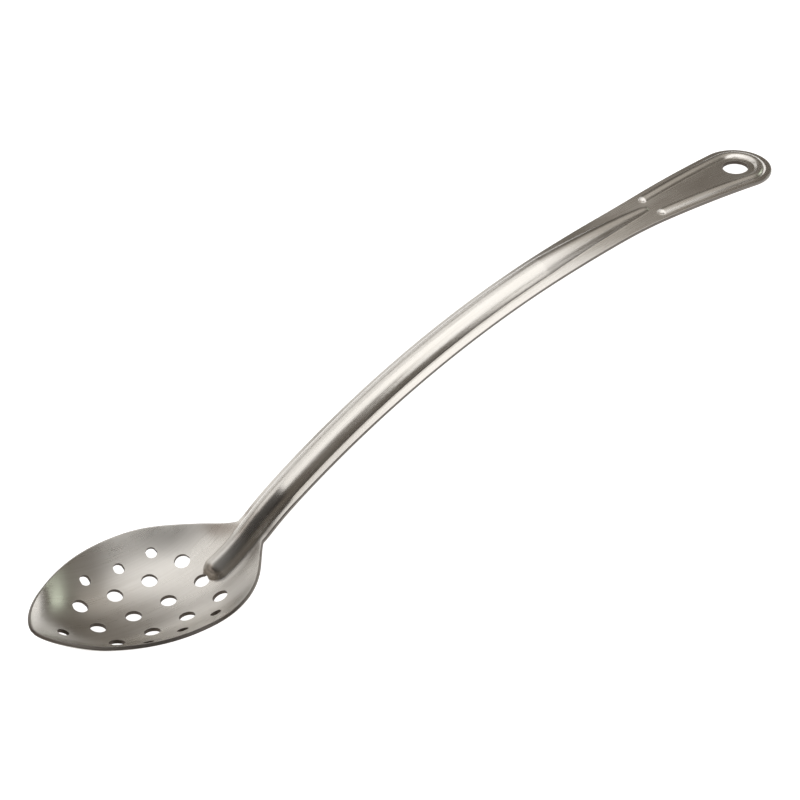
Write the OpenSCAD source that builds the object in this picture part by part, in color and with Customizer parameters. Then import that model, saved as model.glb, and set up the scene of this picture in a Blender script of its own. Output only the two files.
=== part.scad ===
// A perforated serving spoon pressed from one steel sheet: an egg-shaped bowl with drain holes,
// a handle stiffened by a raised half-round rib, and a flared round end to hang it by.
// A station is a distance along the middle of the sheet from the tip of the bowl.
// A lean is the angle at which the sheet climbs at a station, measured against the bowl's rim.

/* [Sheet] */
// Length along the sheet from the tip of the bowl to the end of the handle
spoon_len = 395; // [350:1:450]
// Thickness of the sheet
sheet_t = 1.6; // [0.9:0.1:1.7]
// Length over which one lean eases into the next
ease_len = 8; // [4:0.5:12]

/* [Bowl] */
// Length along the floor of the bowl from its tip to the steepest place behind it
bowl_len = 107.4; // [104:0.2:116]
// Width of the bowl across its rim
bowl_w = 72.2; // [66:0.2:84]
// Station of the widest place, as a share of the bowl's length
widest_share = 0.53; // [0.5:0.01:0.58]
// Length of the back half of the egg, as a share of the bowl's length
back_share = 0.48; // [0.44:0.005:0.53]
// Power of the front half of the egg's curve, higher for a fuller front
front_power = 1.9; // [1.6:0.05:2.4]
// Root of the front half of the egg's curve, higher for a blunter tip
front_root = 1.75; // [1.5:0.05:2.2]
// Power of the back half of the egg's curve, higher for a fuller back
back_power = 2.35; // [1.9:0.05:2.8]
// Root of the back half of the egg's curve, higher for a blunter back
back_root = 1.6; // [1.2:0.05:1.8]
// How far the rim dips below the tip along the sides
rim_dip = 1.5; // [0:0.1:3]
// Length along the sheet over which the rim dips behind the tip
dip_len = 19; // [15:1:40]
// Height over which the rim turns up into the edge of the handle
lip_blend = 7.8; // [3:0.1:8]
// Power of the curve that the wall follows from the floor to the rim
wall_power = 2.85; // [2:0.05:4]
// How much the wall flares outward at the rim
rim_flare = 0.35; // [0:0.01:0.6]
// Width over which the bowl's outline sweeps into the handle's edge
neck_blend = 8.8; // [4:0.1:8.8]

/* [Leans] */
// Lean of the sheet at the tip of the bowl
tip_lean = -36; // [-45:0.5:-25]
// Lean where the floor starts
toe_lean = -4; // [-8:0.1:0]
// Station where the floor starts, as a share of the bowl's length
toe_share = 0.376; // [0.34:0.001:0.42]
// Lean where the floor ends
heel_lean = 4.5; // [0:0.1:10]
// Station where the floor ends, as a share of the bowl's length
heel_share = 0.625; // [0.58:0.001:0.68]
// Lean at the steepest place behind the bowl
neck_lean = 44; // [34:0.5:48]
// Lean at the root of the handle
root_lean = 34.5; // [28:0.5:40]
// Distance from the steepest place to the root of the handle
root_gap = 17.6; // [12:0.2:24]
// Lean partway along the handle
mid_lean = 12.3; // [8:0.1:18]
// Station of that lean, as a share of the way from the root to the end
mid_share = 0.576; // [0.5:0.001:0.65]
// Lean at the end of the handle
end_lean = -0.4; // [-5:0.1:5]

/* [Handle] */
// Width across the flanges at the root
neck_w = 17.8; // [17.6:0.1:24]
// Width across the flanges before the flare
mid_w = 20.4; // [18:0.1:24]
// Distance past the steepest place at which the handle takes over from the bowl
bowl_tail = 10.6; // [9:0.1:14]
// Length of the straight flare that runs onto the round end
flare_len = 58.5; // [50:0.5:70]
// Width of the rib over both of its corners
rib_w = 12.5; // [10.6:0.1:13]
// Height of the rib above the flanges
rib_h = 4.7; // [3.5:0.1:5.2]
// Radius where the rib turns into the flanges
rib_corner_r = 0.95; // [0.9:0.05:1.5]
// Distance that the rib's full width reaches into the bowl from the steepest place
rib_reach = 19.2; // [18:0.1:21]
// Length over which the rib tapers toward the hanging end
tail_len = 56; // [35:1:80]
// Width of the rib at the end of its taper
tail_w = 4.4; // [3.6:0.1:6]
// Height of the rib at the end of its taper
tail_h = 1.2; // [0.6:0.1:1.4]
// Power of the rib's taper, below 1 where it keeps its width and then narrows quickly
tail_power = 0.8; // [0.5:0.05:2.2]
// How far the flanges fall from the rib to their edges
flange_fall = 0.8; // [0:0.1:1]
// Length behind the bowl over which that fall comes in
fall_len = 80; // [40:1:120]

/* [Hanging end] */
// Diameter of the round end
end_d = 31; // [29:0.1:36]
// Diameter of the hole that the spoon hangs by
hang_d = 11.1; // [9:0.1:12]
// Distance from the edge to the crest of the bead
bead_inset = 4.9; // [4.4:0.1:5.6]
// Width of the bead over both of its corners
bead_w = 5; // [4.2:0.1:5.4]
// Height of the bead above the panel
bead_h = 1.3; // [0.8:0.1:1.4]
// Radius where the bead turns into the panel
bead_corner_r = 0.95; // [0.85:0.05:1.1]
// Distance from the middle of the round end back to the end of the handle piece
end_reach = 48.5; // [44:0.5:54]

/* [Drain holes] */
// Diameter of the twelve large holes
large_d = 6.6; // [5:0.1:7.4]
// Diameter of the seven small holes
small_d = 4.8; // [3.6:0.1:5.6]
// Distance between holes along the bowl
hole_pitch = 16.4; // [15.6:0.1:16.4]
// Station of the second large hole of the middle row
hole_at = 47.3; // [46:0.1:49.4]
// Distance from the middle row to the outer rows of large holes
row_gap = 14.5; // [12:0.1:15]
// Distance from the middle row to the rows of small holes
outer_gap = 24.8; // [23:0.1:26]

/* [Hidden] */
steel = "#b9b4ac";
$fn = 64;

// Counts of rows and columns in the curved sheets
tip_rows = 14;
floor_rows = 7;
neck_rows = 10;
shank_rows = 26;
tail_rows = 14;
strip_rows = 12;
fan_rays = 28;
wall_cols = 8;
flange_cols = 2;
panel_cols = 2;
crown_cols = 5;
corner_cols = 3;
spine_steps = 396;
rest_steps = 120;
half_turn = 180;

// Shares
half_share = 0.5;
first_share = 0.02;
inner_share = 0.75;
bend_share = 0.15;
probe_share = 0.05;

// Stations and lengths that follow from the sizes
step = spoon_len / spine_steps;
probe = sheet_t * probe_share;
widest_at = bowl_len * widest_share;
back_len = bowl_len * back_share;
first_at = widest_at * pow(first_share, 2);
root_at = bowl_len + root_gap;
bowl_end = bowl_len + bowl_tail;
end_r = end_d / 2;
end_at = spoon_len - end_r;
flare_at = end_at - flare_len;
end_cut = end_at - end_reach;
nose_at = bowl_len - rib_reach;
tail_at = end_cut - tail_w / 2;
taper_at = tail_at - tail_len;
bead_at = end_cut + bead_w / 2;
blend_w = min(neck_blend, neck_w / 2);
// Half the height of a hole's cut, which clears the foot of the rib's nose beside the last drain hole
hole_cut = rib_h;
// Angle of the straight flare that just touches the round end
flare_lean = asin(end_r / norm([flare_len, mid_w / 2])) - atan2(mid_w / 2, flare_len);
touch_at = end_at - end_r * sin(flare_lean);

// Curves that several pieces share
function ease(t) = let (q = min(max(t, 0), 1)) q * q * (3 - 2 * q);
function soft_max(a, b, k) = max(a, b) + pow(max(0, k - abs(a - b)), 2) / (4 * k);

// Lean along the spoon: straight changes between the named leans, softened where they meet
leans = [
    [0, tip_lean],
    [bowl_len * toe_share, toe_lean],
    [bowl_len * heel_share, heel_lean],
    [bowl_len, neck_lean],
    [root_at, root_lean],
    [root_at + (spoon_len - root_at) * mid_share, mid_lean],
    [spoon_len, end_lean]
];
function lean(s) = (lookup(s - ease_len, leans) + 2 * lookup(s, leans) + lookup(s + ease_len, leans)) / 4;

// Middle line of the sheet in the upright plane of symmetry, summed in short steps of the lean
function stride(i) = let (a = lean((i + half_share) * step)) step * [cos(a), sin(a)];
spine = [for (i = 0, p = [0, 0]; i <= spine_steps; p = p + stride(i), i = i + 1) p];
function spot(s) =
    let (i = min(max(floor(s / step), 0), spine_steps - 1))
    spine[i] + (s / step - i) * (spine[i + 1] - spine[i]);

// Half width of the sheet: an egg, then the flanges, the straight flare and the round end
function egg(s) = bowl_w / 2 * (s < widest_at
    ? pow(1 - pow(1 - s / widest_at, front_power), 1 / front_root)
    : pow(max(0, 1 - pow((s - widest_at) / back_len, back_power)), 1 / back_root));
function shank(s) =
    s < flare_at ? (neck_w + (mid_w - neck_w) * max(0, (s - root_at) / (flare_at - root_at))) / 2 :
    s < touch_at ? mid_w / 2 + tan(flare_lean) * (s - flare_at) :
    sqrt(max(0, pow(end_r, 2) - pow(s - end_at, 2)));
function half_w(s) =
    s < widest_at ? egg(s) : s < root_at ? soft_max(egg(s), shank(s), blend_w) : shank(s);

// Height of the edge above the middle line, square to the sheet
function rim_level(s) = -rim_dip * ease(s / dip_len);
function lip(s) =
    let (gap = rim_level(s) - spot(s)[1])
    (s < widest_at ? max(0, gap) : soft_max(gap, 0, lip_blend)) / cos(lean(s));
function wall(t) = (1 + rim_flare) * pow(t, wall_power) - rim_flare * pow(t, wall_power + 2);

// Raised ridge of two arcs, a crown and a corner, at a distance d from its crest line
function turn(b, h) = 2 * atan2(h, b);
function reach(b, h) = b / sin(turn(b, h));
function corner(b, h, r) = min(r, reach(b, h) * half_share);
function ridge(d, b, h, r) =
    let (q = corner(b, h, r), c = reach(b, h) - q)
    d >= b ? 0 :
    d < c * sin(turn(b, h)) ? h - c + sqrt(c * c - d * d) : q - sqrt(max(0, q * q - pow(b - d, 2)));
// Distances from the crest at which that ridge is drawn, from the crest out to its foot
function ridge_cols(b, h, r) =
    let (q = corner(b, h, r), c = reach(b, h) - q, a = turn(b, h)) concat(
    [for (k = [0 : crown_cols]) c * sin(a * k / crown_cols)],
    [for (k = [1 : corner_cols]) b - q * sin(a * (1 - k / corner_cols))]);

// Rib along the handle, with a round nose in the bowl and a slim tail
function tail(s) = pow(min(max((tail_at - s) / tail_len, 0), 1), tail_power);
function rib_b(s) = (tail_w + (rib_w - tail_w) * tail(s)) / 2;
function rib_rise(s) = tail_h + (rib_h - tail_h) * tail(s);
function rib(s, y) =
    let (a = min(max(s, nose_at), tail_at))
    ridge(norm([s - a, y]), rib_b(a), rib_rise(a), rib_corner_r);

// Rise of the sheet at the rib and fall at the edges, where the flanges slope down from the rib's foot
function fall(s) = flange_fall * ease((s - bowl_end) / fall_len) * ease((end_cut - s) / tail_len);
function bend(t) = t * t * (1 + bend_share) / (t + bend_share);
function droop(s, y) =
    let (f = fall(s), b = rib_b(s))
    f > 0 ? f * (half_share - bend(max(0, (abs(y) - b) / (half_w(s) - b)))) : 0;

// Bead that follows the edge of the hanging end at a fixed inset
function edge_gap(s, y) =
    let (p = [s - end_at, abs(y)])
    p * [cos(flare_lean), sin(flare_lean)] > 0 ? end_r - norm(p) : (half_w(s) - p[1]) * cos(flare_lean);
function bead(s, y) = s < end_cut ? 0 :
    ridge(norm([max(0, bead_at - s), edge_gap(s, y) - bead_inset]), bead_w / 2, bead_h, bead_corner_r);

// Point of the sheet's middle, the direction square to it, and a point on its top or underside
function mid(s, y) =
    let (p = spot(s), a = lean(s), e = lip(s),
        n = (e > 0 ? e * wall(abs(y) / half_w(s)) : 0) + rib(s, y) + bead(s, y) + droop(s, y))
    [p[0] - n * sin(a), y, p[1] + n * cos(a)];
function square(s, y) =
    let (along = mid(s + probe, y) - mid(max(s - probe, first_at), y),
        across = mid(s, y + probe) - mid(s, y - probe),
        n = cross(along, across))
    n / norm(n);
function skin(s, y, side) = mid(s, y) + side * sheet_t / 2 * square(s, y);

// Pose on a table: the spoon rests on its bowl, beside the rib, and on the end of the handle
end_foot = skin(spoon_len, 0, -1);
bowl_feet = [for (i = [1 : rest_steps], y = [0, rib_w / 2])
    let (s = bowl_end * i / rest_steps) if (y < half_w(s)) skin(s, y, -1)];
rest_lean = max([for (p = bowl_feet) atan2(end_foot[2] - p[2], end_foot[0] - p[0])]);
function resting(p) = [
    p[0] * cos(rest_lean) + p[2] * sin(rest_lean), p[1], p[2] * cos(rest_lean) - p[0] * sin(rest_lean)];
tip_x = resting(skin(first_at, 0, -1))[0];
end_x = resting(skin(spoon_len, 0, 1))[0];
module rest() {
    translate([-(tip_x + end_x) / 2, 0, -resting(end_foot)[2]])
        rotate([0, rest_lean, 0])
            children();
}

// Two triangles of a four-cornered patch
function patch(a, b, c, d) = [[a, b, c], [a, c, d]];
// Patches between two lists of corners that run side by side
function band(a, b) = [for (k = [1 : len(a) - 1]) each patch(a[k - 1], a[k], b[k], b[k - 1])];
function flip(list) = [for (k = [len(list) - 1 : -1 : 0]) list[k]];

// Closed sheet through rows of columns: top, underside, both edges and both ends
module sheet(rows, cols) {
    w = len(cols[0]);
    n = len(rows);
    top = [for (i = [0 : n - 1]) [for (j = [0 : w - 1]) i * w + j]];
    low = [for (row = top) [for (k = row) k + n * w]];
    polyhedron(
        points = [for (side = [1, -1], i = [0 : n - 1], y = cols[i]) skin(rows[i], y, side)],
        faces = concat(
            [for (i = [1 : n - 1]) each band(top[i - 1], top[i])],
            [for (i = [1 : n - 1]) each band(low[i], low[i - 1])],
            band([for (r = top) r[0]], [for (r = low) r[0]]),
            band([for (r = low) r[w - 1]], [for (r = top) r[w - 1]]),
            band(low[0], top[0]),
            band(top[n - 1], low[n - 1])));
}

// Whole row of columns from a list for one half that runs outward from the middle
function both(half) = concat([for (k = [len(half) - 1 : -1 : 1]) -half[k]], half);

// Row across the bowl or handle: the rib's columns, then even ones out to the edge
function row_cols(s, count) =
    let (w = half_w(s), a = min(max(s, nose_at), tail_at),
        fit = min(1, inner_share * w / rib_b(a)),
        inner = [for (y = ridge_cols(rib_b(a), rib_rise(a), rib_corner_r)) y * fit],
        foot = inner[len(inner) - 1])
    both(concat(inner, [for (k = [1 : count]) foot + (w - foot) * k / count]));

// Straight cut through the sheet, square to it
module bore(s, y, d, cut) {
    n = square(s, y);
    translate(mid(s, y))
        rotate([0, acos(n[2]), atan2(n[1], n[0])])
            cylinder(h = 2 * cut, d = d, center = true);
}

// Bowl with its floor, wall and rim, and the round nose of the rib
module bowl() {
    nose = ridge_cols(rib_w / 2, rib_h, rib_corner_r);
    floor_end = nose_at - rib_w / 2;
    rows = concat(
        [for (k = [0 : tip_rows]) widest_at * pow(max(k / tip_rows, first_share), 2)],
        [for (k = [1 : floor_rows - 1]) widest_at + (floor_end - widest_at) * k / floor_rows],
        [for (y = flip(nose)) nose_at - y],
        [for (k = [1 : neck_rows]) nose_at + (bowl_end - nose_at) * k / neck_rows]);
    color(steel) rest() difference() {
        sheet(rows, [for (s = rows) row_cols(s, wall_cols)]);
        for (i = [-1 : 2], y = [-row_gap, 0, row_gap])
            bore(hole_at + i * hole_pitch, y, large_d, hole_cut);
        for (i = [-1 : 1], y = [-outer_gap, outer_gap])
            bore(hole_at + (i + half_share) * hole_pitch, y, small_d, hole_cut);
        bore(hole_at - 2 * hole_pitch, 0, small_d, hole_cut);
    }
}

// Handle with its raised rib and its flanges, which slope down from the rib
module handle() {
    tip = ridge_cols(tail_w / 2, tail_h, rib_corner_r);
    rows = concat(
        [for (k = [0 : shank_rows]) bowl_end + (taper_at - bowl_end) * k / shank_rows],
        [for (k = [1 : tail_rows - 1]) taper_at + (tail_at - taper_at) * k / tail_rows],
        [for (y = tip) tail_at + y]);
    color(steel) rest()
        sheet(rows, [for (s = rows) row_cols(s, flange_cols)]);
}

// Distances in from the edge at which the hanging end is drawn, then a bare panel to the middle
bead_cols = ridge_cols(bead_w / 2, bead_h, bead_corner_r);
function end_cols(w) =
    let (foot = w - bead_inset - bead_w / 2) concat(
    [for (k = [0 : panel_cols - 1]) foot * k / panel_cols],
    [for (g = flip(bead_cols)) w - bead_inset - g],
    [for (k = [1 : len(bead_cols) - 1]) w - bead_inset + bead_cols[k]],
    [w]);

// Flared end with the hanging hole, a bead round it and a bare panel
module hanging_end() {
    rows = concat(
        [for (y = flip(bead_cols)) bead_at - y],
        [for (k = [1 : strip_rows]) bead_at + (end_at - bead_at) * k / strip_rows]);
    half = end_cols(end_r);
    m = len(half);
    w = 2 * m - 1;
    n = len(rows);
    turns = [for (k = [1 : fan_rays - 1]) half_turn * k / fan_rays];
    flat = concat(
        [for (s = rows) each [for (y = both(end_cols(half_w(s)))) [s, y]]],
        [for (a = turns, k = [1 : m - 1]) [end_at + half[k] * sin(a), half[k] * cos(a)]]);
    count = len(flat);
    // Rays of the round end, each from the middle outward, between the two halves of the last row
    hub = (n - 1) * w + m - 1;
    rays = concat(
        [[for (k = [0 : m - 1]) hub + k]],
        [for (t = [0 : fan_rays - 2]) concat([hub], [for (k = [0 : m - 2]) n * w + t * (m - 1) + k])],
        [[for (k = [0 : m - 1]) hub - k]]);
    top = [for (i = [0 : n - 1]) [for (j = [0 : w - 1]) i * w + j]];
    rim = [for (r = rays) r[m - 1]];
    faces_top = concat(
        [for (i = [1 : n - 1]) each band(top[i - 1], top[i])],
        [for (t = [1 : fan_rays]) each concat(
            [[hub, rays[t - 1][1], rays[t][1]]],
            [for (k = [2 : m - 1]) each
                patch(rays[t - 1][k - 1], rays[t - 1][k], rays[t][k], rays[t][k - 1])])]);
    function low(list) = [for (k = list) k + count];
    right = [for (r = top) r[0]];
    left = [for (r = top) r[w - 1]];
    color(steel) rest() difference() {
        polyhedron(
            points = [for (side = [1, -1], p = flat) skin(p[0], p[1], side)],
            faces = concat(
                faces_top,
                [for (f = faces_top) flip(low(f))],
                band(right, low(right)),
                band(low(left), left),
                band(low(rim), rim),
                band(low(top[0]), top[0])));
        bore(end_at, 0, hang_d, hole_cut);
    }
}

bowl();
handle();
hanging_end();
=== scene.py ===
# %% [markdown]
# # A perforated serving spoon
#
# The real spoon is one sheet of stainless steel that was punched and pressed: a bowl with round
# drain holes, an arched handle with a raised rib, and a flared end to hang it by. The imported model
# is loaded first and stays where it is. Everything below is in metres, in that same frame.

# %% Load the frame
import math
import bpy
import numpy as np
from mathutils import Matrix, Vector
from mathutils.geometry import delaunay_2d_cdt


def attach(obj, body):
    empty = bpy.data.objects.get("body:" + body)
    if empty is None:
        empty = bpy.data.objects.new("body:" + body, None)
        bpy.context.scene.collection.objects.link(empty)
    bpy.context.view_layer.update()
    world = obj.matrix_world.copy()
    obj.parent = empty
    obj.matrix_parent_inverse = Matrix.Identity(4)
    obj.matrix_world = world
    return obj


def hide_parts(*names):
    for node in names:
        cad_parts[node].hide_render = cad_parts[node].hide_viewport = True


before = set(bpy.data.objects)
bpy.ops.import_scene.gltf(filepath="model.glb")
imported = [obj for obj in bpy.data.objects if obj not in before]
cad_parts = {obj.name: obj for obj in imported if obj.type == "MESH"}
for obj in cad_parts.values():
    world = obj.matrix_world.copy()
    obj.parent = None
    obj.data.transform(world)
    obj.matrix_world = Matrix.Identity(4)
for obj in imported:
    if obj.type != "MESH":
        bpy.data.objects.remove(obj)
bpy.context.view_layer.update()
print("frame nodes:", sorted(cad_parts))

# %% [markdown]
# ## Driving sizes
#
# A pressing is easiest to describe on its flat sheet. A station is a distance along the middle of
# the sheet from the tip of the bowl, and an offset is a distance to one side of that middle line.
# These are the same sizes that the solids use, so the smooth pieces lie on the solids. Only the start
# of the flare, up to a quarter of a millimetre, and the rounded edges are softer here.

# %% Sizes of the sheet
spoon_len = 0.395
sheet_t = 0.0016
ease_len = 0.008
bowl_len = 0.1074
bowl_w = 0.0722
neck_w = 0.0178
mid_w = 0.0204
end_d = 0.031
flare_len = 0.0585

# Places that follow from them
widest_at = 0.53 * bowl_len
back_len = 0.48 * bowl_len
root_at = bowl_len + 0.0176
bowl_end = bowl_len + 0.0106
end_r = end_d / 2
end_at = spoon_len - end_r
flare_at = end_at - flare_len
end_cut = end_at - 0.0485
print("stations: bowl ends at", round(bowl_end, 4), "and the hanging end starts at", round(end_cut, 4))

# %% [markdown]
# ## The bent middle line
#
# Seen from the side the spoon is a line that dips through the bowl, climbs steeply at the neck and
# arches over. Drawing that curve by eye rarely gives a fair line. It is safer to say how much the
# sheet leans at a few stations, let the lean change evenly between them, and add up short steps.

# %% Leans and the spine
lean_stations = np.array([
    0, 0.376 * bowl_len, 0.625 * bowl_len, bowl_len, root_at,
    root_at + 0.576 * (spoon_len - root_at), spoon_len])
lean_angles = np.radians([-36, -4, 4.5, 44, 34.5, 12.3, -0.4])
spine_steps = 1580
spine_step = spoon_len / spine_steps


def lean(s):
    """Lean at station s: straight changes between the named leans, averaged over three stations."""
    near, here, far = (np.interp(s + k * ease_len, lean_stations, lean_angles) for k in (-1, 0, 1))
    return (near + 2 * here + far) / 4


strides = lean((np.arange(spine_steps) + 0.5) * spine_step)
spine_s = np.arange(spine_steps + 1) * spine_step
spine_x = np.concatenate([[0], np.cumsum(spine_step * np.cos(strides))])
spine_z = np.concatenate([[0], np.cumsum(spine_step * np.sin(strides))])


def spot(s):
    """Place of station s on the spine, linear between the steps and straight on past both ends."""
    over = s - np.clip(s, 0, spoon_len)
    x = np.interp(s, spine_s, spine_x) + over * np.cos(lean(s))
    z = np.interp(s, spine_s, spine_z) + over * np.sin(lean(s))
    return x, z


print("spine reaches", spine_x[-1].round(4), "along and", spine_z[-1].round(4), "up")

# %% [markdown]
# ## The outline of the blank
#
# The blank is an egg for the bowl, straight flanges for the handle, and a round end that two
# straight lines just touch. The egg sweeps into the flanges, which is a soft maximum of the two
# widths: the larger one, plus a small bulge where they are nearly equal. The flare starts in the
# same soft way, because the blanking die has no corner there.

# %% Half width
neck_blend, flare_blend = 0.0088, 0.001
front_power, front_root = 1.9, 1.75
back_power, back_root = 2.35, 1.6
flare_lean = math.asin(end_r / math.hypot(flare_len, mid_w / 2)) - math.atan2(mid_w / 2, flare_len)
touch_at = end_at - end_r * math.sin(flare_lean)


def soft_max(a, b, k):
    """The larger of a and b, plus (k - |a - b|) squared over 4 k where they differ by less than k."""
    return np.maximum(a, b) + np.maximum(0, k - np.abs(a - b)) ** 2 / (4 * k)


def half_width(s):
    """Egg (1 - (1 - s / widest) ** power) ** (1 / root), alike at the back, then the flanges."""
    front = np.maximum(1 - np.clip(1 - s / widest_at, 0, 1) ** front_power, 0) ** (1 / front_root)
    behind = np.clip((s - widest_at) / back_len, 0, 1)
    back = np.maximum(1 - behind ** back_power, 0) ** (1 / back_root)
    egg = bowl_w / 2 * np.where(s < widest_at, front, back)
    flange = neck_w + (mid_w - neck_w) * np.clip((s - root_at) / (flare_at - root_at), 0, 1)
    flare = mid_w / 2 + math.tan(flare_lean) * (s - flare_at)
    circle = np.sqrt(np.maximum(0, end_r ** 2 - (s - end_at) ** 2))
    shank = np.where(s < touch_at, soft_max(flange / 2, flare, flare_blend), circle)
    neck = soft_max(egg, shank, neck_blend)
    return np.where(s < widest_at, egg, np.where(s < root_at, neck, shank))


shown_at = np.array([widest_at, bowl_end, end_at])
print("half widths at bowl, neck and end:", half_width(shown_at).round(4))

# %% [markdown]
# ## What the press raises
#
# Three things lift the sheet away from the spine: the wall of the bowl, the half-round rib that
# stiffens the handle, and the bead round the hanging hole. A pressed ridge has a round crown and a
# small round corner at its foot, because sheet steel can't fold sharply. So a ridge is two arcs
# that share a tangent, given as a height over the distance from its crest line.

# %% Wall, rib and bead
rim_dip, dip_len = 0.0015, 0.019
lip_blend = 0.0078
wall_power, rim_flare = 2.85, 0.35
rib_w, rib_h, rib_corner_r = 0.0125, 0.0047, 0.00095
nose_at = bowl_len - 0.0192
tail_w, tail_h, tail_len, tail_power = 0.0044, 0.0012, 0.056, 0.8
flange_fall, fall_len, fall_knee = 0.0008, 0.08, 0.15
overhang = 1.2
tail_at = end_cut - tail_w / 2
bead_w, bead_h, bead_corner_r, bead_inset = 0.005, 0.0013, 0.00095, 0.0049
bead_at = end_cut + bead_w / 2


def ease(t):
    """Smooth step from 0 to 1 as t runs from 0 to 1."""
    q = np.clip(t, 0, 1)
    return q * q * (3 - 2 * q)


def lip(s):
    """Height of the rim over the spine, square to the sheet: the rim's level less the spine's."""
    _, z = spot(s)
    gap = -rim_dip * ease(s / dip_len) - z
    rise = np.where(s < widest_at, np.maximum(0, gap), soft_max(gap, 0, lip_blend))
    return rise / np.cos(lean(s))


def ridge(d, b, h, r):
    """Crown of radius c and corner of radius q that turn through 2 atan(h / b) each."""
    turn = 2 * np.arctan2(h, b)
    both = b / np.sin(turn)
    q = np.minimum(r, both / 2)
    c = both - q
    crown = h - c + np.sqrt(np.maximum(c * c - d * d, 0))
    foot = q - np.sqrt(np.maximum(q * q - (b - d) ** 2, 0))
    return np.where(d >= b, 0, np.where(d < c * np.sin(turn), crown, foot))


def rib_size(s):
    """Half width and height of the rib, which taper toward its tail."""
    t = np.clip((tail_at - s) / tail_len, 0, 1) ** tail_power
    return (tail_w + (rib_w - tail_w) * t) / 2, tail_h + (rib_h - tail_h) * t


def rib(s, y):
    """Ridge round a line from the nose to the tail, with a round end at each."""
    a = np.clip(s, nose_at, tail_at)
    b, h = rib_size(a)
    return ridge(np.hypot(s - a, y), b, h, rib_corner_r)


def droop(s, y):
    """Fall of the flanges to their edges, which starts behind the bowl and goes at the hanging end."""
    b, _ = rib_size(np.clip(s, nose_at, tail_at))
    t = np.clip((np.abs(y) - b) / np.maximum(half_width(s) - b, 1e-6), 0, overhang)
    bend = t * t * (1 + fall_knee) / (t + fall_knee)
    share = ease((s - bowl_end) / fall_len) * ease((end_cut - s) / tail_len)
    return flange_fall * share * (0.5 - bend)


def bead(s, y):
    """Ridge at a fixed distance in from the edge of the hanging end, with round starts."""
    p, q = s - end_at, np.abs(y)
    on_circle = p * math.cos(flare_lean) + q * math.sin(flare_lean) > 0
    gap = np.where(on_circle, end_r - np.hypot(p, q), (half_width(s) - q) * math.cos(flare_lean))
    d = np.hypot(np.maximum(0, bead_at - s), gap - bead_inset)
    return np.where(s < end_cut, 0, ridge(d, bead_w / 2, bead_h, bead_corner_r))


def middle(s, y):
    """Point of the sheet's middle: the spine, raised square to it by wall, rib and bead."""
    s, y = np.broadcast_arrays(np.asarray(s, float), np.asarray(y, float))
    x, z = spot(s)
    t = np.minimum(np.abs(y) / np.maximum(half_width(s), 1e-9), overhang)
    wall = (1 + rim_flare) * t ** wall_power - rim_flare * t ** (wall_power + 2)
    n = lip(s) * wall + rib(s, y) + bead(s, y) + droop(s, y)
    return np.stack([x - n * np.sin(lean(s)), y, z + n * np.cos(lean(s))], -1)


print("bowl depth at its widest:", round(float(lip(np.array(widest_at))), 4))

# %% [markdown]
# ## Which way the sheet faces
#
# Smooth metal shows every mistake in its normals, so they come from the formula and not from the
# triangles. In the bowl the two directions are along a fixed share of the width and across it,
# because a fixed offset would leave the sheet near the tip. Elsewhere they are station and offset.

# %% Normals and the resting pose
probe = 0.00004


def facing(s, y):
    """Unit normal: cross product of the small steps along and across the sheet."""
    s, y = np.broadcast_arrays(np.asarray(s, float), np.asarray(y, float))
    s = np.maximum(s, probe / 10)
    w = half_width(s)
    in_bowl = s < root_at
    share = np.where(in_bowl, y / np.maximum(w, 1e-9), 0)
    behind, ahead = np.maximum(s - probe, s / 2), s + probe
    y_behind = np.where(in_bowl, share * half_width(behind), y)
    y_ahead = np.where(in_bowl, share * half_width(ahead), y)
    side = np.where(in_bowl, np.minimum(probe, w / 10), probe)
    along = middle(ahead, y_ahead) - middle(behind, y_behind)
    across = middle(s, y + side) - middle(s, y - side)
    n = np.cross(along, across)
    return n / np.linalg.norm(n, axis=-1, keepdims=True)


def skin(s, y, side):
    """Point on the top (side 1) or the underside (side -1) of the sheet."""
    return middle(s, y) + side * sheet_t / 2 * facing(s, y)


end_foot = skin(spoon_len, 0, -1)
feet_s = bowl_end * np.arange(1, 121) / 120
beside = feet_s[half_width(feet_s) > rib_w / 2]
feet = np.concatenate([skin(feet_s, 0, -1), skin(beside, rib_w / 2, -1)])
rest_lean = np.arctan2(end_foot[2] - feet[:, 2], end_foot[0] - feet[:, 0]).max()
rest_turn = np.array(Matrix.Rotation(rest_lean, 3, "Y"))
first_share = 0.02
first_at = widest_at * first_share ** 2
tip_x = (rest_turn @ skin(first_at, 0, -1))[0]
end_x = (rest_turn @ skin(spoon_len, 0, 1))[0]
rest_shift = np.array([-(tip_x + end_x) / 2, 0, -(rest_turn @ end_foot)[2]])
print("the spoon lies with its bowl turned by", round(math.degrees(rest_lean), 2), "degrees")

# %% [markdown]
# ## Rounded edges
#
# A cut edge that is perfectly sharp looks like paper. A real one is tumbled until its corners are
# round, which gives the rim a thin line with a tone of its own, deepened by the dark cut edge colour
# that is partly painted shade. The edge is a profile, two quarter arcs with a flat between them,
# carried along the outline of the blank and round each hole.

# %% Edge profile and the outline of the whole sheet
rim_r = 0.00045
hole_edge_r = 0.00012
# Share of the cut edges' dark colour, partly painted shade, and of their roughness at the outer rim;
# hole walls take all of it.
rim_cut = 0.8
arc_steps = 5


def edge_profile(r):
    """Distances out and up, and the normal's two parts, from the top of an edge to its underside."""
    a = np.linspace(0, np.pi / 2, arc_steps + 1)
    out = r * (np.sin(a) - 1)
    up = sheet_t / 2 - r + r * np.cos(a)
    return (np.concatenate([out, out[::-1]]), np.concatenate([up, -up[::-1]]),
            np.concatenate([np.sin(a), np.sin(a)[::-1]]),
            np.concatenate([np.cos(a), -np.cos(a)[::-1]]))


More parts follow.
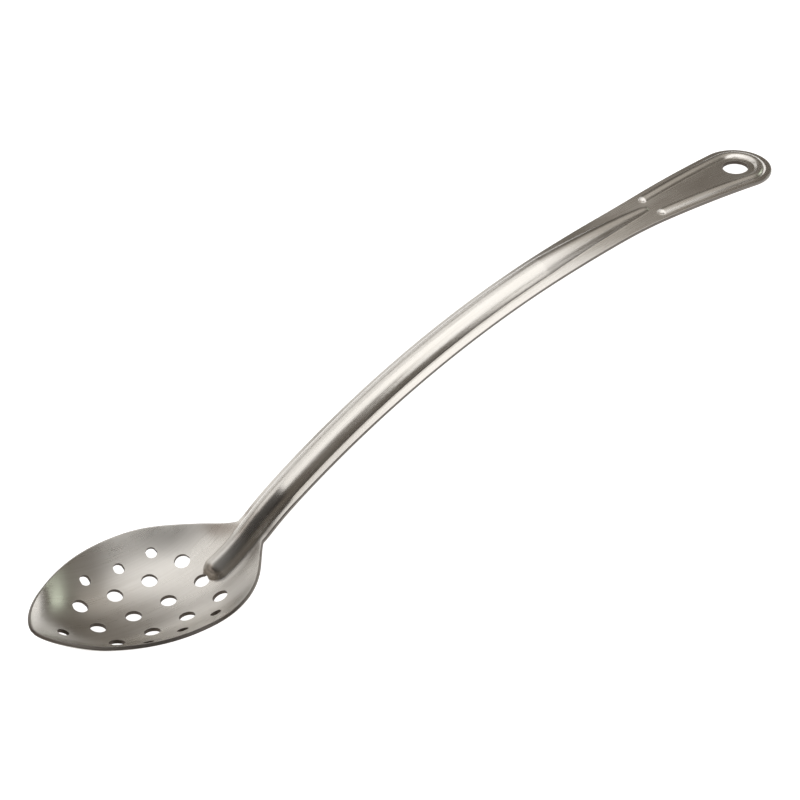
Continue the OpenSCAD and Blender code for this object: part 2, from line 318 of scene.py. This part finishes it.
tip_s = widest_at * np.linspace(0, 1, 100) ** 2
side_s = np.concatenate([
    tip_s, np.linspace(widest_at, bowl_end, 90)[1:], np.linspace(bowl_end, end_cut, 240)[1:],
    np.linspace(end_cut, touch_at, 80)[1:]])
round_a = np.linspace(math.pi / 2 + flare_lean, 0, 60)[1:]
edge_s = np.concatenate([side_s, end_at + end_r * np.cos(round_a)])
edge_y = np.concatenate([half_width(side_s), end_r * np.sin(round_a)])
edge_y[-1] = 0
flip_y = np.array([1, -1, 1])


def edge_frame(normals, ahead, behind):
    """Direction out of the sheet at each edge point: normal crossed with the way along the edge."""
    out = np.cross(normals, ahead - behind)
    return out / np.linalg.norm(out, axis=-1, keepdims=True)


edge_m = middle(edge_s, edge_y)
edge_n = facing(edge_s, edge_y)
edge_n[[0, -1]] *= [1, 0, 1]
edge_n /= np.linalg.norm(edge_n, axis=-1, keepdims=True)
padded = np.concatenate([edge_m[1:2] * flip_y, edge_m, edge_m[-2:-1] * flip_y])
edge_out = edge_frame(edge_n, padded[2:], padded[:-2])
at_bowl_end = int(np.argmin(np.abs(edge_s - bowl_end)))
at_end_cut = int(np.argmin(np.abs(edge_s - end_cut)))


def chain(index, near):
    """Edge points in the order of index, on the far side or mirrored to the near side."""
    turn = flip_y if near else np.ones(3)
    flat = np.stack([edge_s[index], edge_y[index] * turn[1]], -1)
    return {"flat": flat, "m": edge_m[index] * turn, "n": edge_n[index] * turn,
            "out": edge_out[index] * turn}


def join(a, b):
    """Two chains one after the other."""
    return {key: np.concatenate([a[key], b[key]]) for key in a}


print("outline points on one side:", len(edge_s))

# %% [markdown]
# ## From points to a mesh
#
# Every piece is a closed sheet: top, underside, rounded edges and flat ends where it meets the next
# piece. The bowl and the hanging end have holes, so their points are joined by a triangulation of
# the flat blank that keeps the outline and the holes. The handle has none and is a plain grid.

# %% Mesh helpers
def strip(ids, closed):
    """Quads between neighbouring columns of an array of vertex numbers, wrapped round if closed."""
    a = ids if closed else ids[:-1]
    b = np.roll(ids, -1, 0) if closed else ids[1:]
    quads = np.stack([a[:, :-1], b[:, :-1], b[:, 1:], a[:, 1:]], -1)
    return quads.reshape(-1, 4)


def edge_ring(edge, r):
    """Points and normals of an edge profile at each point of a chain."""
    out, up, n_out, n_up = edge_profile(r)
    m, n, o = (edge[key][:, None] for key in ("m", "n", "out"))
    return m + o * out[:, None] + n * up[:, None], o * n_out[:, None] + n * n_up[:, None]


def make_piece(name, points, normals, flat, cut, faces):
    """Mesh object at rest in the frame, with normals, a map of station and offset, and a cut mask."""
    mesh = bpy.data.meshes.new(name)
    mesh.from_pydata((points @ rest_turn.T + rest_shift).tolist(), [], faces)
    mesh.shade_smooth()
    corner = np.empty(len(mesh.loops), np.int32)
    mesh.loops.foreach_get("vertex_index", corner)
    sheet_map = mesh.uv_layers.new(name="sheet")
    sheet_map.data.foreach_set("uv", flat[corner].astype(np.float32).ravel())
    mask = mesh.attributes.new("cut", "FLOAT", "POINT")
    mask.data.foreach_set("value", cut.astype(np.float32))
    mesh.normals_split_custom_set_from_vertices((normals @ rest_turn.T).tolist())
    piece = bpy.data.objects.new(name, mesh)
    bpy.context.scene.collection.objects.link(piece)
    mesh.calc_loop_triangles()
    print(name, len(mesh.vertices), "points,", len(mesh.loop_triangles), "triangles")
    return piece


def ridge_columns(b, h, r, crown_steps, corner_steps):
    """Offsets from the crest to the foot of a ridge, at even turns of its two arcs."""
    turn = 2 * np.arctan2(h, b)
    both = b / np.sin(turn)
    q = np.minimum(r, both / 2)
    k = np.linspace(0, 1, crown_steps + 1)
    j = np.linspace(0, 1, corner_steps + 1)[1:]
    crown = (both - q)[..., None] * np.sin(turn[..., None] * k)
    foot = b[..., None] - q[..., None] * np.sin(turn[..., None] * (1 - j))
    return np.concatenate([crown, foot], -1)


edge_margin = 0.0011
rib_steps = (12, 7)
flange_cols = 4


def row_columns(s, count):
    """Offsets across the sheet at stations s: the rib's columns, then even ones to near the edge."""
    b, h = rib_size(np.clip(s, nose_at, tail_at))
    w = half_width(s) - edge_margin
    fit = np.minimum(1, 0.8 * w / b)[:, None]
    inner = ridge_columns(b, h, rib_corner_r, *rib_steps) * fit
    k = np.linspace(0, 1, count + 1)[1:]
    outer = inner[:, -1:] + (w[:, None] - inner[:, -1:]) * k
    half = np.concatenate([inner, outer], -1)
    return np.concatenate([-half[:, :0:-1], half], -1)


print("columns across the handle:", row_columns(np.array([0.2]), flange_cols).shape[1])

# %% [markdown]
# ## A sheet with holes in it
#
# A grid can't follow both the outline and the holes. So points are spread over the flat blank, those
# in a hole or too near an edge are dropped, and the rest are joined with the outline and the hole
# circles as fixed lines. The same triangles serve the top and, turned over, the underside. Each edge
# then gets its rounded profile, and the straight seam gets a flat cap that meets the next piece.

# %% Punched sheet
clear_share, hole_share = 0.7, 0.98


def punched_sheet(name, inside, border, seam_s, seam_y, holes):
    """Closed sheet from points on the blank, a border chain, the seam that closes it, and holes."""
    seam = np.stack([np.full_like(seam_y, seam_s), seam_y], -1)
    rims = [(border, rim_r)] + [(hole, hole_edge_r) for hole in holes]
    walls = np.concatenate([rim["flat"] for rim, r in rims])
    clear = np.linalg.norm(inside[:, None] - walls[None], axis=-1).min(1)
    near = clear < edge_margin * clear_share
    centres = np.array([hole["flat"].mean(0) for hole in holes])
    reaches = np.array([
        np.linalg.norm(hole["flat"] - c, axis=1).mean() for hole, c in zip(holes, centres)])
    punched = (np.linalg.norm(inside[:, None] - centres[None], axis=-1) < reaches).any(1)
    inside = inside[~near & ~punched]
    flat = np.concatenate([border["flat"], seam] + [hole["flat"] for hole in holes] + [inside])
    loop = len(border["flat"]) + len(seam)
    starts = np.cumsum([loop] + [len(hole["flat"]) for hole in holes])
    edges = [np.stack([np.arange(loop), np.roll(np.arange(loop), -1)], -1)]
    for a, b in zip(starts[:-1], starts[1:]):
        edges.append(np.stack([np.arange(a, b), a + np.roll(np.arange(b - a), -1)], -1))
    spots = [Vector(p) for p in flat.tolist()]
    found = delaunay_2d_cdt(spots, np.concatenate(edges).tolist(), [], 1, 1e-9)
    tris = np.array(found[2])
    assert len(found[0]) == len(flat), "the blank's lines cross"
    mids = flat[tris].mean(1)
    off = np.linalg.norm(mids[:, None] - centres[None], axis=-1)
    tris = tris[~(off < reaches * hole_share).any(1)]
    count = len(flat)
    n = facing(flat[:, 0], flat[:, 1])
    m = middle(flat[:, 0], flat[:, 1])
    top, low = m + n * sheet_t / 2, m - n * sheet_t / 2
    points, normals, maps, cuts = [top, low], [n, -n], [flat, flat], [np.zeros(2 * count)]
    quads, rings, made = [], [], 2 * count
    for k, (rim, r) in enumerate(rims):
        ring, ring_n = edge_ring(rim, r)
        here = np.arange(len(ring)) + (0 if k == 0 else starts[k - 1])
        top[here], low[here] = ring[:, 0], ring[:, -1]
        n[here], normals[1][here] = ring_n[:, 0], ring_n[:, -1]
        between = made + np.arange(len(ring) * (ring.shape[1] - 2)).reshape(len(ring), -1)
        ids = np.concatenate([here[:, None], between, here[:, None] + count], 1)
        rings.append(ids)
        quads.append(strip(ids, closed=k > 0))
        points.append(ring[:, 1:-1].reshape(-1, 3))
        normals.append(ring_n[:, 1:-1].reshape(-1, 3))
        maps.append(np.repeat(rim["flat"], ring.shape[1] - 2, 0))
        # Cut mask over each edge profile: it brings in the dark edge colour, which is partly painted
        # shade, and more roughness.
        cuts.append(np.tile(edge_profile(r)[2][1:-1], len(ring)) * (1 if k else rim_cut))
        made += len(points[-1])
    last = len(border["flat"]) - 1
    seam_ids = np.concatenate([[last], last + 1 + np.arange(len(seam)), [0]])
    a, b = seam_ids[:-1], seam_ids[1:]
    cap = np.stack([a, b, b + count, a + count], -1)[:, ::-1]
    ends = [rings[0][-1][::-1].tolist(), rings[0][0].tolist()]
    faces = tris.tolist() + (tris[:, ::-1] + count).tolist() + np.concatenate(quads).tolist()
    faces += cap.tolist() + ends
    parts = (np.concatenate(part) for part in (points, normals, maps, cuts))
    return make_piece(name, *parts, faces)


# %% [markdown]
# ## The bowl and its drain holes
#
# Twelve large holes stand in three rows of four. Six small ones stand outside them, midway between
# the large ones, and a seventh at the tip. They were punched in the flat sheet, so the last hole of
# the middle row is caught by the nose of the rib. Each hole is a circle on the sheet, found by walking
# from its centre until it is round in space.

# %% Drain holes
large_d, small_d = 0.0066, 0.0048
hole_pitch, hole_at = 0.0164, 0.0473
row_gap, outer_gap = 0.0145, 0.0248
large_holes = [
    (hole_at + i * hole_pitch, y, large_d) for i in (-1, 0, 1, 2) for y in (-row_gap, 0, row_gap)]
small_holes = [
    (hole_at + i * hole_pitch, y, small_d) for i in (-0.5, 0.5, 1.5) for y in (-outer_gap, outer_gap)]
small_holes.append((hole_at - 2 * hole_pitch, 0, small_d))
hole_steps = 48


def hole_chain(s, y, d):
    """Edge chain of a round hole: offsets on the sheet, corrected until they lie d / 2 off its axis."""
    a = np.linspace(0, 2 * np.pi, hole_steps, endpoint=False)
    floor_n = facing(s, y)
    e_y = np.cross(floor_n, [1, 0, 0])
    e_y /= np.linalg.norm(e_y)
    e_s = np.cross(e_y, floor_n)
    goal = d / 2 * np.stack([np.cos(a), np.sin(a)], -1)
    flat = np.array([s, y]) + goal
    for _ in range(4):
        gone = middle(flat[:, 0], flat[:, 1]) - middle(s, y)
        flat = flat + goal - np.stack([gone @ e_s, gone @ e_y], -1)
    m = middle(flat[:, 0], flat[:, 1])
    n = facing(flat[:, 0], flat[:, 1])
    out = edge_frame(n, np.roll(m, -1, 0), np.roll(m, 1, 0))
    return {"flat": flat, "m": m, "n": n, "out": out}


drain_holes = [hole_chain(*hole) for hole in large_holes + small_holes]
print("drain holes:", len(drain_holes))

# %% Bowl
tip_to_end = np.arange(at_bowl_end + 1)
bowl_border = join(chain(tip_to_end[:0:-1], near=True), chain(tip_to_end, near=False))
nose_half = ridge_columns(np.array(rib_w / 2), np.array(rib_h), rib_corner_r, *rib_steps)
nose_rows = nose_at - nose_half[::-1]
bowl_step, neck_step, wall_cols = 0.001, 0.0008, 26
bowl_rows = np.concatenate([
    np.arange(bowl_step, nose_rows[0] - bowl_step / 2, bowl_step), nose_rows,
    np.arange(nose_at + neck_step, bowl_end - neck_step / 2, neck_step)])
bowl_cols = row_columns(bowl_rows, wall_cols)
bowl_grid = np.repeat(bowl_rows[:, None], bowl_cols.shape[1], 1)
bowl_inside = np.stack([bowl_grid, bowl_cols], -1).reshape(-1, 2)
bowl_reach = half_width(bowl_inside[:, 0]) - edge_margin / 2
bowl_inside = bowl_inside[np.abs(bowl_inside[:, 1]) < bowl_reach]
bowl_seam = row_columns(np.array([bowl_end]), flange_cols)[0]
bowl = punched_sheet("spoon_bowl", bowl_inside, bowl_border, bowl_end, bowl_seam[::-1], drain_holes)

# %% [markdown]
# ## The handle
#
# The handle is one cross section, flange, rib and flange, carried along the arched spine. Each row
# of the grid is a closed loop: over the top, round the far edge, back underneath and round the near
# edge. Its first and last rows are the very points of the bowl's and the hanging end's seams.

# %% Handle
run = np.arange(at_bowl_end, at_end_cut + 1)
run_s = edge_s[run]
run_cols = row_columns(run_s, flange_cols)
run_grid = np.repeat(run_s[:, None], run_cols.shape[1], 1)
run_n = facing(run_grid, run_cols)
run_m = middle(run_grid, run_cols)
far_ring, far_n = edge_ring(chain(run, near=False), rim_r)
near_ring, near_n = edge_ring(chain(run, near=True), rim_r)
run_top, run_low = run_m + run_n * sheet_t / 2, run_m - run_n * sheet_t / 2
loop_p = [run_top, far_ring, run_low[:, ::-1], near_ring[:, ::-1]]
loop_n = [run_n, far_n, -run_n[:, ::-1], near_n[:, ::-1]]
ring_y = np.repeat(edge_y[run][:, None], far_ring.shape[1], 1)
loop_y = [run_cols, ring_y, run_cols[:, ::-1], -ring_y]
handle_p, handle_n, handle_y = (np.concatenate(part, 1) for part in (loop_p, loop_n, loop_y))
rows, around = handle_y.shape
ids = np.arange(rows * around).reshape(rows, around)
side_quads = strip(np.concatenate([ids, ids[:, :1]], 1), closed=False)
cols = run_cols.shape[1]
ring_steps = far_ring.shape[1]


def loop_cap(loop, outward):
    """Faces that close one end of the loop: quads from top to underside and a fan at each edge."""
    top, low = loop[:cols], loop[cols + ring_steps:2 * cols + ring_steps][::-1]
    quads = np.stack([top[:-1], top[1:], low[1:], low[:-1]], -1)
    far = loop[cols - 1:cols + ring_steps + 1]
    near = np.concatenate([loop[2 * cols + ring_steps - 1:], loop[:1]])
    faces = quads.tolist() + [far.tolist(), near.tolist()]
    return faces if outward else [face[::-1] for face in faces]


handle_faces = side_quads.tolist() + loop_cap(ids[0], False) + loop_cap(ids[-1], True)
handle_flat = np.stack([np.repeat(run_s[:, None], around, 1), handle_y], -1).reshape(-1, 2)
bare = np.zeros(cols)
handle_cut = rim_cut * np.tile(np.concatenate([bare, edge_profile(rim_r)[2]] * 2), rows)
handle = make_piece("spoon_handle", handle_p.reshape(-1, 3), handle_n.reshape(-1, 3),
                    handle_flat, handle_cut, handle_faces)

# %% [markdown]
# ## The hanging end
#
# The end flares to a round disc with a hole in its middle. A bead runs round it and stiffens it, and
# the panel inside the bead is bare. Its points follow the bead: columns at even turns of the bead's
# arcs along the straight part, and the same columns swung round the middle of the disc.

# %% Hanging end
hang_d = 0.0111
bead_steps = (7, 5)
end_step, panel_cols, fan_steps = 0.0007, 12, 76
bead_half = ridge_columns(np.array(bead_w / 2), np.array(bead_h), bead_corner_r, *bead_steps)
bead_gaps = bead_inset + np.concatenate([-bead_half[:0:-1], bead_half])
strip_rows = np.concatenate([
    bead_at - bead_half[::-1][1:], np.arange(bead_at + end_step, end_at, end_step)])
panel_share = np.linspace(0, 1, panel_cols)[:-1]


def bead_columns(w):
    """Offsets from the middle line: even ones over the panel, then the bead's own columns."""
    foot = w - bead_gaps[-1]
    half = np.concatenate([foot[:, None] * panel_share, w[:, None] - bead_gaps[::-1]], -1)
    return np.concatenate([-half[:, :0:-1], half], -1)


strip_cols = bead_columns(half_width(strip_rows))
strip_grid = np.repeat(strip_rows[:, None], strip_cols.shape[1], 1)
strip_flat = np.stack([strip_grid, strip_cols], -1).reshape(-1, 2)
fan_r = bead_columns(np.array([end_r]))[0]
fan_r = fan_r[fan_r > 0]
fan_a = np.linspace(-np.pi / 2, np.pi / 2, fan_steps)[:, None]
fan_flat = np.stack([end_at + np.cos(fan_a) * fan_r, np.sin(fan_a) * fan_r], -1).reshape(-1, 2)
end_inside = np.concatenate([strip_flat, fan_flat])
cut_to_end = np.arange(at_end_cut, len(edge_s))
end_border = join(chain(cut_to_end, near=False), chain(cut_to_end[-2::-1], near=True))
end_seam = row_columns(np.array([end_cut]), flange_cols)[0]
hang_hole = hole_chain(end_at, 0, hang_d)
hanging_end = punched_sheet(
    "spoon_hanging_end", end_inside, end_border, end_cut, end_seam, [hang_hole])

# %% [markdown]
# ## Every piece stands for its solid
#
# Each smooth piece rides on the one rigid body, hides the faceted solid of the same name, and takes
# its finish from the satin steel made below.

# %% Tie the pieces to the frame
pieces = {"bowl": bowl, "handle": handle, "hanging_end": hanging_end}
for node, piece in pieces.items():
    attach(piece, "root")
    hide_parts(node)
print("pieces:", {node: piece.name for node, piece in pieces.items()})

# %% [markdown]
# ## Satin steel
#
# The sheet was rolled and then brushed along its length. That leaves fine lines that blur a
# reflection across them and hardly along them. The lines follow the sheet through its bends, so they
# are drawn on the map of station and offset.

# %% Brushed lines
def add(nodes, kind, **values):
    """New shader node with some of its inputs set."""
    node = nodes.new(kind)
    for key, value in values.items():
        node.inputs[key.replace("_", " ")].default_value = value
    return node


def math_node(nodes, links, operation, a, b):
    """Math node over two inputs, each a number or another node's output."""
    node = nodes.new("ShaderNodeMath")
    node.operation = operation
    for socket, value in zip(node.inputs, (a, b)):
        if isinstance(value, (int, float)):
            socket.default_value = value
        else:
            links.new(value, socket)
    return node.outputs[0]


def stretched_noise(nodes, links, vector, along, across, detail):
    """Noise whose grains are 1 / along long and 1 / across wide on the map of station and offset."""
    scale = nodes.new("ShaderNodeVectorMath")
    scale.operation = "MULTIPLY"
    scale.inputs[1].default_value = (along, across, 1)
    links.new(vector, scale.inputs[0])
    noise = add(nodes, "ShaderNodeTexNoise", Scale=1.0, Detail=detail, Roughness=0.6)
    noise.noise_dimensions = "2D"
    links.new(scale.outputs[0], noise.inputs["Vector"])
    return noise.outputs["Fac"]


brushing = bpy.data.node_groups.new("brushing", "ShaderNodeTree")
brushing.interface.new_socket("Vector", in_out="INPUT", socket_type="NodeSocketVector")
for name in ("Lines", "Streaks", "Patches"):
    brushing.interface.new_socket(name, in_out="OUTPUT", socket_type="NodeSocketFloat")
g_in = brushing.nodes.new("NodeGroupInput")
g_out = brushing.nodes.new("NodeGroupOutput")
grains = {"Lines": (45, 5200, 3), "Streaks": (14, 900, 3), "Patches": (38, 75, 2)}
for name, (along, across, detail) in grains.items():
    noise = stretched_noise(
        brushing.nodes, brushing.links, g_in.outputs["Vector"], along, across, detail)
    brushing.links.new(noise, g_out.inputs[name])
print("brushing:", {name: f"{1000 / a:.0f} x {1000 / b:.1f} mm" for name, (a, b, _) in grains.items()})

# %% [markdown]
# ## The finish
#
# The faces vary a little in tone from one brush stroke to the next. The bowl is scoured by use and by
# washing up, so it is a touch duller than the handle. Cut edges are much darker than the faces. This
# is partly the duller torn steel of a punched edge and partly painted shade, strongest on the hole
# walls. A very low bump makes the brush lines catch the light.

# %% Steel
steel = bpy.data.materials.new("satin_steel")
steel.use_nodes = True
tree = steel.node_tree
nodes, links = tree.nodes, tree.links
nodes.clear()
shader = add(
    nodes, "ShaderNodeBsdfPrincipled", Metallic=1.0, Anisotropic=0.6, Anisotropic_Rotation=0.25)
surface = nodes.new("ShaderNodeOutputMaterial")
links.new(shader.outputs["BSDF"], surface.inputs["Surface"])
sheet = nodes.new("ShaderNodeUVMap")
sheet.uv_map = "sheet"
along_sheet = nodes.new("ShaderNodeTangent")
along_sheet.direction_type = "UV_MAP"
along_sheet.uv_map = "sheet"
links.new(along_sheet.outputs["Tangent"], shader.inputs["Tangent"])
lines = nodes.new("ShaderNodeGroup")
lines.node_tree = brushing
links.new(sheet.outputs["UV"], lines.inputs["Vector"])
cut = nodes.new("ShaderNodeAttribute")
cut.attribute_name = "cut"


def blend_colour(factor, a, b):
    """Mix of two colours, each a tuple or another node's output, by a varying factor."""
    mix = nodes.new("ShaderNodeMix")
    mix.data_type = "RGBA"
    links.new(factor, mix.inputs["Factor"])
    for socket, value in zip((mix.inputs[6], mix.inputs[7]), (a, b)):
        if isinstance(value, tuple):
            socket.default_value = (*value, 1)
        else:
            links.new(value, socket)
    return mix.outputs[2]


def weighed(a, a_share, b, b_share):
    """Sum of two outputs, each times its share."""
    return math_node(nodes, links, "ADD", math_node(nodes, links, "MULTIPLY", a, a_share),
                     math_node(nodes, links, "MULTIPLY", b, b_share))


# The cut edge colour below is partly duller torn steel and partly painted shade on edges and hole
# walls.
dull_steel, bright_steel, cut_steel_and_shade = (0.60, 0.57, 0.525), (0.76, 0.743, 0.71), (0.10, 0.083, 0.07)
tone = weighed(lines.outputs["Streaks"], 0.6, lines.outputs["Patches"], 0.4)
face_colour = blend_colour(tone, dull_steel, bright_steel)
colour = blend_colour(cut.outputs["Fac"], face_colour, cut_steel_and_shade)
links.new(colour, shader.inputs["Base Color"])
bowl_rough, handle_rough, cut_rough = 0.18, 0.14, 0.2
rough = weighed(lines.outputs["Lines"], 0.10, lines.outputs["Patches"], 0.14)
worn = nodes.new("ShaderNodeMapRange")
worn.interpolation_type = "SMOOTHSTEP"
worn_range = {"From Min": bowl_len - 0.03, "From Max": bowl_end + 0.01,
              "To Min": bowl_rough, "To Max": handle_rough}
for key, value in worn_range.items():
    worn.inputs[key].default_value = value
station = nodes.new("ShaderNodeSeparateXYZ")
links.new(sheet.outputs["UV"], station.inputs[0])
links.new(station.outputs["X"], worn.inputs["Value"])
rough = math_node(nodes, links, "ADD", rough, worn.outputs["Result"])
torn = math_node(nodes, links, "MULTIPLY", cut.outputs["Fac"], cut_rough)
rough = math_node(nodes, links, "ADD", rough, torn)
links.new(rough, shader.inputs["Roughness"])
bump = add(nodes, "ShaderNodeBump", Strength=0.06, Distance=0.00002)
height = math_node(nodes, links, "ADD", lines.outputs["Lines"], lines.outputs["Streaks"])
links.new(height, bump.inputs["Height"])
links.new(bump.outputs["Normal"], shader.inputs["Normal"])
for piece in pieces.values():
    piece.data.materials.append(steel)
print("material:", steel.name)

# %% [markdown]
# ## White paper
#
# The spoon lies on a white sheet. The paper looks white to the camera and in the steel, whatever the
# lamps do, so it glows for camera, glossy and transmission rays only. Its matt part takes the spoon's
# shadow, which under this much glow is too faint to see.

# %% Floor
floor_mesh = bpy.data.meshes.new("floor")
floor_half, paper_glow = 3.0, 0.9
corners = floor_half * np.array([(-1, -1, 0), (1, -1, 0), (1, 1, 0), (-1, 1, 0)])
floor_mesh.from_pydata(corners.tolist(), [], [(0, 1, 2, 3)])
floor = bpy.data.objects.new("floor", floor_mesh)
bpy.context.scene.collection.objects.link(floor)
paper = bpy.data.materials.new("white_paper")
paper.use_nodes = True
tree = paper.node_tree
tree.nodes.clear()
matt = add(tree.nodes, "ShaderNodeBsdfDiffuse", Color=(0.5, 0.5, 0.5, 1))
glow = add(tree.nodes, "ShaderNodeEmission", Color=(1, 1, 1, 1))
path = tree.nodes.new("ShaderNodeLightPath")
both = tree.nodes.new("ShaderNodeAddShader")
surface = tree.nodes.new("ShaderNodeOutputMaterial")
seen = math_node(
    tree.nodes, tree.links, "MAXIMUM", path.outputs["Is Camera Ray"], path.outputs["Is Glossy Ray"])
seen = math_node(tree.nodes, tree.links, "MAXIMUM", seen, path.outputs["Is Transmission Ray"])
strength = math_node(tree.nodes, tree.links, "MULTIPLY", seen, paper_glow)
tree.links.new(strength, glow.inputs["Strength"])
tree.links.new(matt.outputs[0], both.inputs[0])
tree.links.new(glow.outputs[0], both.inputs[1])
tree.links.new(both.outputs[0], surface.inputs["Surface"])
floor_mesh.materials.append(paper)
print("paper:", 2 * floor_half, "m square")

# %% [markdown]
# ## Dark cards
#
# Bare metal has no look of its own: it shows the room. The dark side of the rib and the dark far
# wall of the bowl are things that were not lit. Photographers lay black cards for this. These cards
# are level rectangles of felt that only reflections see, so they throw no shadow and hide nothing.

# %% Dark cards
felt = bpy.data.materials.new("dark_felt")
felt.use_nodes = True
felt.node_tree.nodes["Principled BSDF"].inputs["Base Color"].default_value = (0.05, 0.043, 0.037, 1)
felt.node_tree.nodes["Principled BSDF"].inputs["Roughness"].default_value = 0.9


def felt_card(name, left, right, near, far, height):
    """Level rectangle of felt that only reflections see."""
    mesh = bpy.data.meshes.new(name)
    corners = [(left, near, height), (right, near, height), (right, far, height), (left, far, height)]
    mesh.from_pydata(corners, [], [(0, 1, 2, 3)])
    mesh.materials.append(felt)
    card = bpy.data.objects.new(name, mesh)
    bpy.context.scene.collection.objects.link(card)
    card.visible_camera = card.visible_diffuse = False
    card.visible_shadow = card.visible_transmission = False
    print(name, "at height", height)


felt_card("floor_card", -1.5, 1.5, -2.0, -0.045, 0.001)
felt_card("bowl_card", -0.17, -0.084, -0.08, 0.016, 0.06)
felt_card("neck_card", -0.125, -0.106, 0.016, 0.024, 0.06)
felt_card("right_floor_card", 0.14, 2.0, 0.04, 2.0, 0.001)

# %% [markdown]
# ## Light
#
# Big soft lamps over the spoon give broad highlights with soft ends. A lamp is set by its radiance,
# which is the brightness that a mirror would show: power is radiance times pi times area. The lamps
# over the middle and on the near right light the crest and the near flange, the far ones the floor of
# the bowl, and the weaker ones at left and right let both ends fall off. A low card on the right, a
# little green, makes the pale patch inside the tip.

# %% World and lamps
scene = bpy.context.scene
scene.view_settings.view_transform = "Standard"
world = bpy.data.worlds.new("room")
scene.world = world
world.use_nodes = True
world.node_tree.nodes["Background"].inputs["Color"].default_value = (0.145, 0.127, 0.108, 1)
world.node_tree.nodes["Background"].inputs["Strength"].default_value = 1.0
white, warm, cream, green = (1, 1, 1), (1, 0.87, 0.8), (1, 0.95, 0.88), (0.88, 1, 0.84)
ways = {"down": (0, 0, -1), "near": (0, -1, 0), "far": (0, 1, 0), "left": (-1, 0, 0)}


def softbox(name, place, way, wide, deep, radiance, colour):
    """Rectangular area lamp that shines one way; its power is radiance times pi times its area."""
    lamp = bpy.data.lights.new(name, "AREA")
    lamp.shape = "RECTANGLE"
    lamp.size, lamp.size_y = wide, deep
    lamp.energy = radiance * math.pi * wide * deep
    lamp.color = colour
    box = bpy.data.objects.new(name, lamp)
    box.location = place
    box.rotation_euler = Vector(ways[way]).to_track_quat("-Z", "Y").to_euler()
    box.visible_camera = False
    scene.collection.objects.link(box)
    print(name, "at", place, "radiance", radiance)


softbox("top_softbox", (0.45, 0.0, 1.0), "down", 0.84, 0.9, 1.4, white)
softbox("top_left_softbox", (-0.18, 0.0, 1.0), "down", 0.42, 0.9, 1.25, white)
softbox("far_softbox", (0.15, 0.95, 1.0), "down", 1.4, 0.9, 1.0, white)
softbox("near_softbox", (0.62, -0.95, 1.0), "down", 0.95, 1.0, 1.3, white)
softbox("left_softbox", (-0.92, 0.45, 1.0), "down", 1.05, 1.4, 0.34, warm)
softbox("right_softbox", (1.3, 0.4, 1.0), "down", 0.9, 1.8, 0.36, cream)
softbox("far_card", (0.1, 1.9, 0.52), "near", 1.6, 0.75, 0.85, white)
softbox("near_card", (0.875, -1.6, 0.46), "far", 0.55, 0.8, 1.3, white)
softbox("right_card", (2.0, 0.1, 0.57), "left", 0.8, 0.3, 1.5, green)

# %% [markdown]
# ## Camera
#
# The camera stands off to the left of the spoon's near side and looks down at it, rolled so that the
# handle climbs across the picture. A long lens from over a metre away keeps both ends in proportion.

# %% Camera
camera_azimuth = math.radians(-22.248)
camera_elevation = math.radians(42.901)
camera_roll = math.radians(21.416)
camera_aim = Vector((-0.01149, -0.00281, 0.01876))
camera_distance = 1.13346
camera_data = bpy.data.cameras.new("photo_camera")
camera_data.sensor_width = 36
camera_data.lens = 124.78
camera = bpy.data.objects.new("photo_camera", camera_data)
back = Vector((
    math.sin(camera_azimuth) * math.cos(camera_elevation),
    -math.cos(camera_azimuth) * math.cos(camera_elevation),
    math.sin(camera_elevation)))
upright = back.to_track_quat("Z", "Y").to_matrix()
turned = upright @ Matrix.Rotation(-camera_roll, 3, "Z")
camera.matrix_world = Matrix.Translation(camera_aim + camera_distance * back) @ turned.to_4x4()
scene.collection.objects.link(camera)
scene.camera = camera
print("camera", round(camera_distance, 2), "m away,", camera_data.lens, "mm lens")
